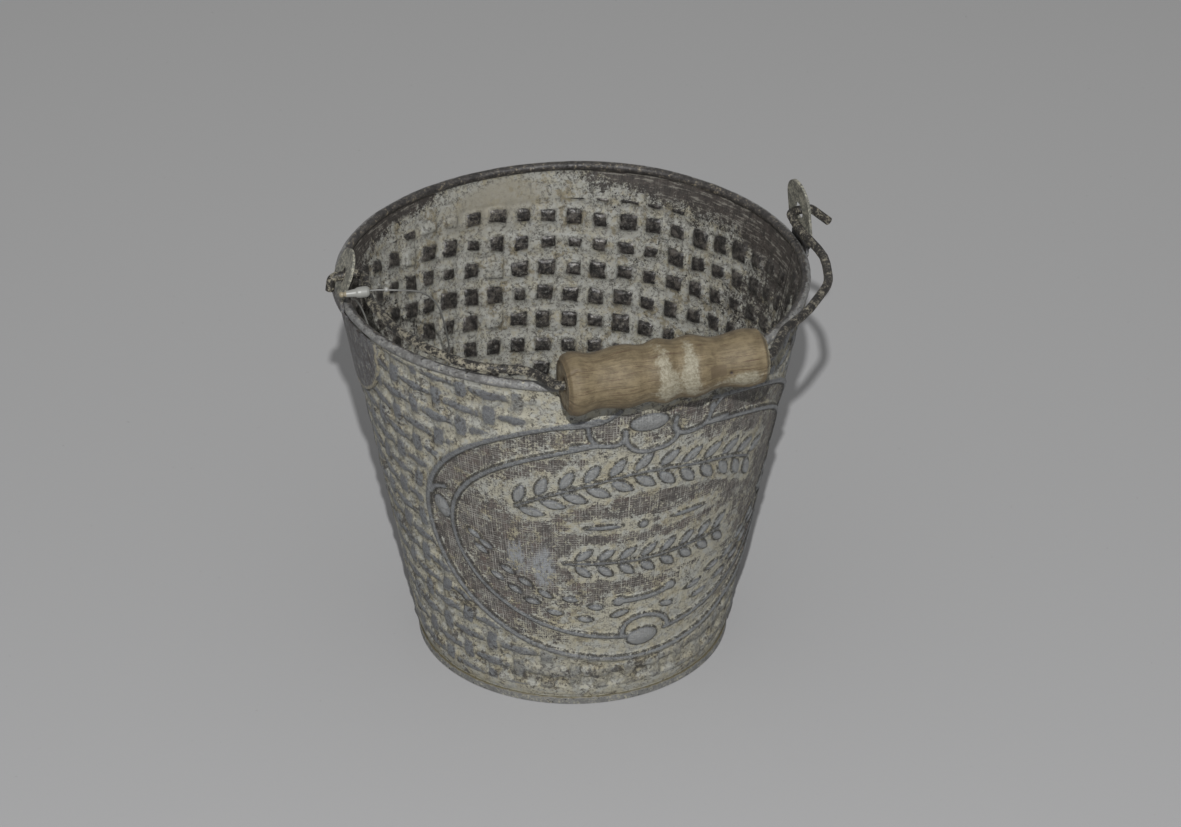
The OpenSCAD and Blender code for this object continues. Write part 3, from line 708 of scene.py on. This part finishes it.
def wall(name, node, front):
    """One panel of the wall: outside, rolled bead, inside, closed at the foot and the side edges."""
    first, last = (180.08, 359.92) if front else (0.08, 179.92)
    angles = np.linspace(first, last, COLUMNS)
    outer_rows, inner_rows = (FINE_ROWS, COARSE_ROWS) if front else (COARSE_ROWS, FINE_ROWS)
    foot = catmull([(54.1, 0.65), (54.1, 3.0), (54.6, 4.2), (55.2, 6.0), (55.7, 8.0), (56.05, 10.0)], 3)[:12]
    # each row of the section: radius, height, side (1 outside, -1 inside, 0 bead), share of the relief
    section = [(p[0], p[1], 1.0, 0.0) for p in foot]
    section += [(WAIST_R + (z - WAIST_H) * SLOPE, z, 1.0, 1.0)
                for z in np.linspace(WAIST_H, 137.15, outer_rows)]
    n_out = len(section)
    bead_angles = np.radians(np.linspace(-72, 252, BEAD_ROWS))
    section += [(BEAD_R + BEAD * math.cos(a), BEAD_Z + BEAD * math.sin(a), 0.0, 0.0) for a in bead_angles]
    n_bead = len(section)
    section += [(WAIST_R - SHEET + (z - WAIST_H) * SLOPE, z, -1.0, 1.0)
                for z in np.linspace(137.1, WAIST_H, inner_rows)]
    section += [(p[0] - SHEET, p[1], -1.0, 0.0) for p in foot[::-1]]
    s = np.array(section)
    theta, z = np.meshgrid(angles, s[:, 1])
    radius, side, moves = (np.repeat(s[:, c:c + 1], COLUMNS, 1) for c in (0, 2, 3))
    facts = relief(theta, z, front)
    shown, square = facts["shown"], facts["square"]
    push = np.where(side > 0, facts["out"], np.where(side < 0, facts["within"], 0)) * moves
    a = np.radians(theta)
    radial = radius + push * math.cos(TILT)
    up = z - push * math.sin(TILT)
    # hammered waviness of the bead
    on_bead = (side == 0)
    wave = 0.10 * lattice_noise(a * 9, np.full(z.shape, 0.5), 31)
    wave = wave + 0.07 * lattice_noise(a * 30, z * 0.7, 32) - 0.17
    round_bead = np.arctan2(z - BEAD_Z, radius - BEAD_R)
    radial = radial + on_bead * wave * np.cos(round_bead)
    up = up + on_bead * wave * np.sin(round_bead)
    # the rim stands a little high at the back
    up = up + 1.1 * np.exp(-((theta - 62) / 34) ** 2) * np.clip(z / 140, 0, 1) ** 3
    verts = np.stack([radial * np.cos(a), radial * np.sin(a), up], -1)
    # paint masks
    edge = np.where(side < 0, np.where(facts["cut"] > 0.4, square, 2.5), -0.6)
    edge = np.where(side > 0, facts["edge"], edge)
    wash = np.where(side > 0, glow(shown, z, OUT_WASH) + 0.30, glow(shown, z, IN_WASH) + 0.42)
    # cream left along the edge of the ears' plates at the back, and round the garlands
    wash = wash + np.where(side > 0, 0.7 * np.exp(-((facts["plate"] - EAR_R) / 0.9) ** 2), 0)
    wash = wash + np.where(side > 0, 0.62 * step(3.3, 1.2, facts["written"]), 0)
    rub = np.where(side > 0, glow(shown, z, RUBBED), 0)
    bead_turn = np.zeros(len(s))
    bead_turn[n_out:n_bead] = 1 + np.clip(bead_angles / math.pi, -0.4, 1.4)
    # some squares inside still hold their paint
    kept = hashed(*facts["cell"], 13) < 0.03 + 0.26 * np.exp(-((shown - 135) / 20) ** 2)
    edge = np.where((side < 0) & kept & (square < 1.2), np.abs(square) * 1.1 + 0.05, edge)
    flat = np.stack([MEAN_R * np.radians(shown), z / math.cos(TILT), side * APART], -1)
    attributes = dict(edge=edge, zone=facts["zone"] * (side > 0), wash=wash, flat=flat, rub=rub,
                      turned=np.repeat(bead_turn[:, None], COLUMNS, 1))
    quads = grid_faces(len(s), COLUMNS, close_rows=True)
    faces = [quads[:, ::-1], side_caps(s[:, 1], n_out, n_bead)]
    made = piece(name, verts, faces, "bucket", SHEET_LOOK, attributes)
    made.data.materials.append(INSIDE_LOOK)
    # the inside's look begins on the last rows of the bead
    slots = np.zeros(len(made.data.polygons), np.int32)
    slots[:len(quads)] = np.arange(len(quads)) // (COLUMNS - 1) >= n_bead - 4
    made.data.polygons.foreach_set("material_index", slots)
    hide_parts(node)


SHEET_LOOK = sheet_look("stamped_sheet_outside", False)
INSIDE_LOOK = sheet_look("stamped_sheet_inside", True)
wall("wall_front_sheet", "wall_front", True)
wall("wall_back_sheet", "wall_back", False)

# ---- ears, base and wire


def dress(node, material):
    """Gives a CAD piece its material."""
    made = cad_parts[node]
    made.data.materials.clear()
    made.data.materials.append(material)
    return made


def ear_look():
    """Dull brushed sheet with cream left at the plate's edge; the tongue is paler and spotted."""
    k = Look("ear_sheet")
    _, y, z = k.split(k.mm)
    above = k.maths("SUBTRACT", z, EAR_Z)
    reach = k.maths("SQRT", k.add(k.times(y, y), k.times(above, above, 1.02)))
    tone, height = aged(k, rgb(66, 63, 62), rgb(100, 101, 103), CREAM, -0.04, 3.0)
    brush = k.noise(1.5, 4, 0.7, stretch=(1, 1, 0.22), shift=8.0)
    tone = k.over(tone, rgb(56, 49, 45), brush, 0.50, 0.58, 0.75)
    ragged = k.add(reach, k.swing(k.noise(2.0, 3, 0.6, shift=14.0), 3.0))
    tone = k.mix(k.times(k.ramp(ragged, 26.9, 27.9), k.ramp(brush, 0.40, 0.55)), tone, CREAM_WARM)
    pale, _ = aged(k, rgb(86, 85, 78), rgb(114, 114, 107), CREAM, 0.04, 33.0)
    tone = k.over(tone, pale, k.add(z, k.times(brush, 3.0)), 142.0, 145.0)
    return k.finish(tone, 0.5, 0.1, k.bump(k.add(height, k.times(brush, 0.12)), 0.9))


def base_look():
    """Pressed disc and foot ring: bare outside, olive dirt in the groove, brown and cream inside."""
    k = Look("base_sheet")
    x, y, z = k.split(k.mm)
    tone, height = aged(k, rgb(92, 92, 90), rgb(112, 112, 110), CREAM, 0.0, 2.0)
    tone = k.over(tone, rgb(84, 78, 58), k.add(z, k.times(k.noise(2.0, 3), 0.8)), 2.7, 3.2)
    inner, _ = aged(k, rgb(74, 67, 60), rgb(108, 102, 90), CREAM, 0.06, 12.0)
    inner = k.over(inner, rgb(122, 118, 104), k.noise(14.0, 4, 0.6, shift=25.0), 0.42, 0.60, 0.7)
    out = k.maths("SQRT", k.add(k.times(x, x), k.times(y, y)))
    tone = k.mix(k.times(k.ramp(z, 3.2, 3.6), k.ramp(out, 54.0, 53.4)), tone, inner)
    return k.finish(tone, 0.55, 0.1, k.bump(height, 0.9))


def wire_look():
    """Dark rusted wire with cream paint caught on it, most of it on the left arm."""
    k = Look("bail_steel")
    x, _, _ = k.split(k.mm)
    fine = k.noise(0.7, 4, 0.75)
    mid = k.noise(2.6, 4, 0.7, shift=6.0)
    mottle = k.add(k.times(mid, 0.5), k.times(fine, 0.5))
    tone = k.mix(k.ramp(mottle, 0.42, 0.60), rgb(24, 22, 20), rgb(62, 58, 53))
    arm = k.ramp(x, -26.0, -44.0, 0.0, 0.03)
    patch = k.ramp(k.add(mottle, arm), 0.520, 0.560)
    tone = k.mix(patch, tone, k.mix(k.ramp(fine, 0.4, 0.6), rgb(136, 131, 114), rgb(112, 107, 95)))
    tone = k.over(tone, rgb(26, 23, 21), k.noise(1.8, 3, 0.7, shift=17.0), 0.38, 0.32)
    height = k.add(k.times(fine, 0.12), k.times(mid, 0.18), k.times(patch, 0.10))
    return k.finish(tone, 0.5, 0.1, k.bump(height))


EAR_LOOK = ear_look()
dress("ear_left", EAR_LOOK)
dress("ear_right", EAR_LOOK)
dress("base", base_look())
dress("bail_wire", wire_look())

# ---- grip

GRIP_L, GRIP_R, GRIP_BORE, GRAIN_R = 65.5, 10.5, 2.2, 9.0
GRIP_MID = np.array([6.806, -87.070, 147.374])
GRIP_AXIS = np.array([0.999678, 0.0, 0.025393])
# share of the length, share of the radius
KNOTS = [(0, 0.80), (0.02, 0.94), (0.05, 0.99), (0.155, 0.86), (0.30, 0.97), (0.40, 0.885), (0.48, 1),
         (0.553, 0.90), (0.63, 0.96), (0.765, 0.79), (0.91, 0.90), (0.97, 0.85), (1, 0.66)]


def grip_radius(f):
    """Turned outline of the grip, eased between its knots."""
    knots = np.array(KNOTS)
    i = np.clip(np.searchsorted(knots[:, 0], f, side="right") - 1, 0, len(knots) - 2)
    t = (f - knots[i, 0]) / (knots[i + 1, 0] - knots[i, 0])
    t = (1 - np.cos(math.pi * np.clip(t, 0, 1))) / 2
    return GRIP_R * (knots[i, 1] + (knots[i + 1, 1] - knots[i, 1]) * t)


# marks on the grip: middle and half-widths, in shares of its length and degrees from its top, and amount
GRIP_CREAM = [
    (0.475, 55, 0.045, 75, 0.95), (0.605, 60, 0.040, 75, 1.15), (0.54, 86, 0.09, 34, 0.7),
    (0.88, 106, 0.11, 26, 1.15), (1.0, 40, 0.018, 200, 0.8), (0.70, 118, 0.12, 18, 0.6),
    (0.43, 112, 0.10, 20, 0.5), (0.0, 60, 0.02, 220, 0.45), (0.42, 20, 0.03, 60, 0.35)]
GRIP_DARK = [(0.80, 30, 0.16, 16, 0.5), (0.12, 128, 0.18, 22, 0.35), (0.2, -10, 0.3, 30, 0.35)]
GRIP_HOLLOWS = [(0.47, 60, 0.10, 60, 0.12), (0.735, 88, 0.05, 22, 0.30)]
GRIP_PIT = [(0.800, 90, 0.012, 6, 1.0)]


def wood_look():
    """Grained wood with darker lines, worn paint and dirt."""
    k = Look("turned_wood")
    cream_mask, dark_mask = k.attribute("cream"), k.attribute("dark")
    along = k.attribute("turned_at", vector=True)
    fine = k.noise(0.9, 4, 0.75, at=along, stretch=(0.07, 1.0, 1.0))
    line = k.noise(0.42, 4, 0.75, at=along, stretch=(0.03, 1.0, 1.0), shift=4.0)
    mid = k.noise(3.2, 4, 0.65, shift=9.0)
    grit = k.noise(0.9, 4, 0.75, shift=2.0)
    tone = k.ramp(k.add(k.times(fine, 0.45), k.times(mid, 0.55)), 0.38, 0.62)
    wood = k.mix(tone, rgb(79, 68, 48), rgb(104, 92, 69))
    wood = k.over(wood, rgb(66, 48, 32), line, 0.56, 0.61, 0.80)
    wood = k.over(wood, rgb(119, 108, 85), line, 0.40, 0.32, 0.45)
    cover = k.ramp(k.add(cream_mask, k.swing(mid, 1.5), k.swing(grit, 0.7)), 0.22, 0.85)
    paint = k.mix(k.ramp(grit, 0.4, 0.62), rgb(108, 103, 87), rgb(133, 129, 114))
    wood = k.mix(k.times(cover, 0.82), wood, paint)
    worn = k.add(dark_mask, k.swing(fine), k.swing(mid, 0.6))
    wood = k.over(wood, rgb(78, 66, 48), worn, 0.35, 0.95, 0.85)
    wood = k.over(wood, rgb(40, 32, 26), dark_mask, 1.1, 1.6)
    wood = k.over(wood, rgb(60, 48, 38), grit, 0.34, 0.28)
    height = k.add(k.times(line, 0.16), k.times(fine, 0.10), k.times(cover, 0.10), k.times(grit, 0.08))
    return k.finish(wood, 0.68, 0.0, k.bump(height, 0.9))


def grip():
    """Turned wooden handle with worn flats, end cracks, a chip and a pit."""
    rings, end_rings, around = 200, 21, 176
    f = np.concatenate([np.linspace(0, 0.06, end_rings, endpoint=False),
                        np.linspace(0.06, 0.94, rings - 2 * end_rings),
                        np.linspace(0.94, 1, end_rings + 1)[1:]])
    ff, aa = np.meshgrid(f, np.linspace(-120, 240, around, endpoint=False), indexing="ij")
    rad = np.radians(aa)
    x = (ff - 0.5) * GRIP_L
    cx, cy = np.cos(rad) * 3.2, np.sin(rad) * 3.2
    grain = (lattice_noise(ff * 3.0 + cx * 0.4, cx * 2.2 + cy * 3.1, 41) * 0.5
             + lattice_noise(ff * 6.0, cx * 5.0 - cy * 6.3, 42) * 0.5)
    worn = np.abs(lattice_noise(ff * 5 + 3, cx * 0.9 + cy * 0.7, 43))
    sink = 0.10 + 0.10 * np.clip(grain, 0, 1) + 0.16 * worn
    sink = sink + glow(ff, aa, GRIP_HOLLOWS)
    chip = lattice_noise(cx * 1.7, cy * 1.7, 44)
    sink = sink + 0.9 * np.clip(chip, 0, 1) * step(0.035, 0.0, ff)
    sink = sink + 0.6 * np.clip(-chip, 0, 1) * step(0.975, 1.0, ff)
    crack = 0.0
    for turn, long in ((38, 0.12), (104, 0.07), (-40, 0.10), (165, 0.08)):
        wave = 4 * lattice_noise(ff * 40, ff * 0 + turn, 45)
        crack = crack + 0.55 * np.exp(-((aa - turn - wave) / 2.2) ** 2) * step(long, 0.0, ff)
    wave = 3 * lattice_noise(ff * 30, ff * 0, 46)
    crack = crack + 0.35 * np.exp(-((aa - 96 - wave) / 1.6) ** 2) * step(0.86, 0.95, ff)
    pit = glow(ff, aa, GRIP_PIT)
    r = grip_radius(ff) - sink - crack - 0.5 * pit
    cream = glow(ff, aa, GRIP_CREAM) - 0.25
    dark = step(0.052, 0.034, np.abs(ff - 0.735)) * step(20, 10, np.abs(aa - 81)) + 1.9 * pit
    dark = dark + 1.4 * np.clip(crack, 0, 1) + 0.55 * step(0.09, 0.0, ff) + glow(ff, aa, GRIP_DARK)
    up = np.array([-GRIP_AXIS[2], 0, GRIP_AXIS[0]])
    front = np.array([0.0, -1.0, 0.0])

    def ring(xx, rr, angle):
        rr = np.broadcast_to(rr, angle.shape)
        return (GRIP_MID + np.multiply.outer(np.broadcast_to(xx, angle.shape), GRIP_AXIS)
                + (rr * np.cos(angle))[..., None] * up + (rr * np.sin(angle))[..., None] * front)

    # where the grain runs: along the length, round the grip, and a little with the radius
    verts, masks = list(ring(x, r, rad)), list(np.stack([cream, dark], -1))
    coords = list(np.stack([x, rad * GRAIN_R, r * 0.25], -1))
    # right end face, bore and left end face: place, share of the radius, whether in the bore
    tail = [(GRIP_L / 2, t, False) for t in (0.72, 0.45, 0.2)]
    tail += [(end * (GRIP_L / 2 - 0.4), 0.0, True) for end in (1, -1)]
    tail += [(-GRIP_L / 2, t, False) for t in (0.2, 0.45, 0.72)]
    bore = GRIP_BORE + 0.05
    for xx, t, in_bore in tail:
        end, rim_r, cream_end = (1, r[-1], 0.25) if xx > 0 else (-1, r[0], 0.45)
        rr = bore + (rim_r - bore) * t
        dish = 0.35 * (1 - t) * end + 0.22 * lattice_noise(cx[0] * 1.6 + t * 4, cy[0] * 1.6, 47) * end
        verts.append(ring(np.full(around, xx) if in_bore else xx - dish - 0.3 * end, rr, rad[0]))
        marks = (0.0, 1.2) if in_bore else (cream_end, 0.55)
        masks.append(np.tile(marks, (around, 1)))
        coords.append(np.stack([np.full(around, xx), rad[0] * GRAIN_R, rr], -1))
    faces = grid_faces(len(verts), around, close_rows=True, close_cols=True)
    masks = np.array(masks)
    made = piece("grip_turned", verts, [faces[:, ::-1]], "grip", wood_look(),
                 dict(cream=masks[..., 0], dark=masks[..., 1], turned_at=coords))
    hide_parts("grip")


grip()

# ---- tag: lock, bead and filament


def nylon_look(name, colour, tip=None, clear=0.0):
    """Cloudy nylon; tip is where along X another colour begins, and that colour."""
    k = Look(name)
    x, _, _ = k.split(k.mm)
    fine = k.noise(1.5, 3, 0.6)
    tone = k.mix(fine, tuple(c * 0.9 for c in colour), tuple(min(1, c * 1.08) for c in colour))
    if tip:
        tone = k.over(tone, tip[1], x, tip[0] + 0.3, tip[0] - 0.3)
    k.shader.inputs["IOR"].default_value = 1.5
    k.shader.inputs["Transmission Weight"].default_value = clear
    return k.finish(tone, 0.42, 0.0, k.bump(k.times(fine, 0.10), 0.5))


lock = dress("tag_lock", nylon_look("nylon_cloudy", rgb(120, 120, 116), (-80.6, rgb(120, 112, 94))))
# the filament's route, from the lock and back to it
LOOP = [
    (-72.6, -17.7, 150.3), (-70, -18.3, 150.5), (-63, -19.4, 150), (-58.3, -18.2, 148.5), (-55.3, -17.2, 147),
    (-52.8, -16.3, 144.8), (-50.6, -15.4, 142), (-49, -15, 138.5), (-47.7, -14, 134), (-46.4, -12.3, 128.5),
    (-45.4, -10.3, 123.5), (-44.8, -8.5, 118.5), (-45.6, -7.3, 112.5), (-49, -7, 107.5), (-54.5, -7.5, 105),
    (-60.5, -9, 106.5), (-65.5, -10.5, 112.5), (-68.8, -11.5, 121), (-71.4, -12, 130), (-73.2, -11.7, 137),
    (-74.7, -11.8, 141.5), (-76.4, -13.3, 144.8), (-78, -16, 147), (-79, -17.8, 149.2)]


def filament():
    """The fastener's filament as one loop of cord, with its small bead."""
    path = catmull(LOOP, 4)
    curve = bpy.data.curves.new("tag_filament", "CURVE")
    curve.dimensions = "3D"
    curve.bevel_depth, curve.bevel_resolution, curve.use_fill_caps = 0.3 * MM, 3, True
    spline = curve.splines.new("POLY")
    spline.points.add(len(path) - 1)
    spline.points.foreach_set("co", np.column_stack([path * MM, np.ones(len(path))]).ravel())
    # painted shade: the filament is coloured a darker grey than its pale nylon, standing in for the dark line
    # of its shadow that shows it against the wall
    curve.materials.append(nylon_look("nylon_filament", rgb(96, 96, 93)))
    made = place_object("tag_filament", curve)
    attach(made, "bail")
    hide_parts("tag_loop")
    # a small clear bead moulded on the filament beside the lock
    turns, steps, radius = 24, 14, 0.85
    centre = np.array([-67.4, -18.75, 150.55])
    a, b = np.meshgrid([math.pi * i / steps for i in range(1, steps)],
                       np.linspace(0, math.tau, turns, endpoint=False), indexing="ij")
    verts = np.stack([np.cos(a), np.sin(a) * np.cos(b), np.sin(a) * np.sin(b)], -1).reshape(-1, 3)
    last = len(verts)
    verts = np.vstack([verts, [[1, 0, 0], [-1, 0, 0]]]) * radius + centre
    j, after = np.arange(turns), (np.arange(turns) + 1) % turns
    end = last - turns                             # where the last ring begins
    caps = np.concatenate([np.stack([j, after, np.full(turns, last)], -1),
                           np.stack([after + end, j + end, np.full(turns, last + 1)], -1)])
    bead = piece("tag_bead", verts, [grid_faces(steps - 1, turns, close_cols=True)[:, ::-1], caps], "bail",
                 nylon_look("nylon_bead", rgb(150, 150, 146), clear=0.3))


filament()

# ---- room


def floor_look():
    """Pale floor with faint marks; its colour is darker near the camera and paler far off, painted light that
    evens out the lamp's falloff.
    """
    k = Look("floor")
    across, away, _ = k.split(k.mm)
    back = k.add(k.times(away, 0.966), k.times(across, 0.259))
    # painted light: paler away from the camera, where the lamp lights the floor less
    tone = k.mix(k.ramp(back, -350, 650), rgb(146, 146, 147), rgb(172, 172, 172))
    tone = k.over(tone, rgb(128, 127, 124), k.noise(3.0, 3, 0.6), 0.70, 0.76, 0.35)
    return k.finish(tone, 0.9)


HALF_FLOOR = 6000
corners = [(x * HALF_FLOOR, y * HALF_FLOOR, 0) for x, y in ((-1, -1), (1, -1), (1, 1), (-1, 1))]
floor_mesh = piece("floor", corners, [np.array([[0, 1, 2, 3]])], None, floor_look(), smooth=False)

world = bpy.data.worlds.new("world")
bpy.context.scene.world = world
world.use_nodes = True
background = world.node_tree.nodes["Background"]
background.inputs["Color"].default_value = (1, 1, 1, 1)
background.inputs["Strength"].default_value = 0.38

# one small lamp close to the camera, as a flash is
light = bpy.data.lights.new("key", "AREA")
light.shape, light.size, light.energy = "DISK", 0.015, 18.4
key = place_object("key", light)
key.location = (-0.255, -0.975, 0.83)
key.rotation_mode = "QUATERNION"
key.rotation_quaternion = (Vector((0, 0, 0.08)) - key.location).to_track_quat("-Z", "Y")

bpy.context.scene.view_settings.view_transform = "Standard"
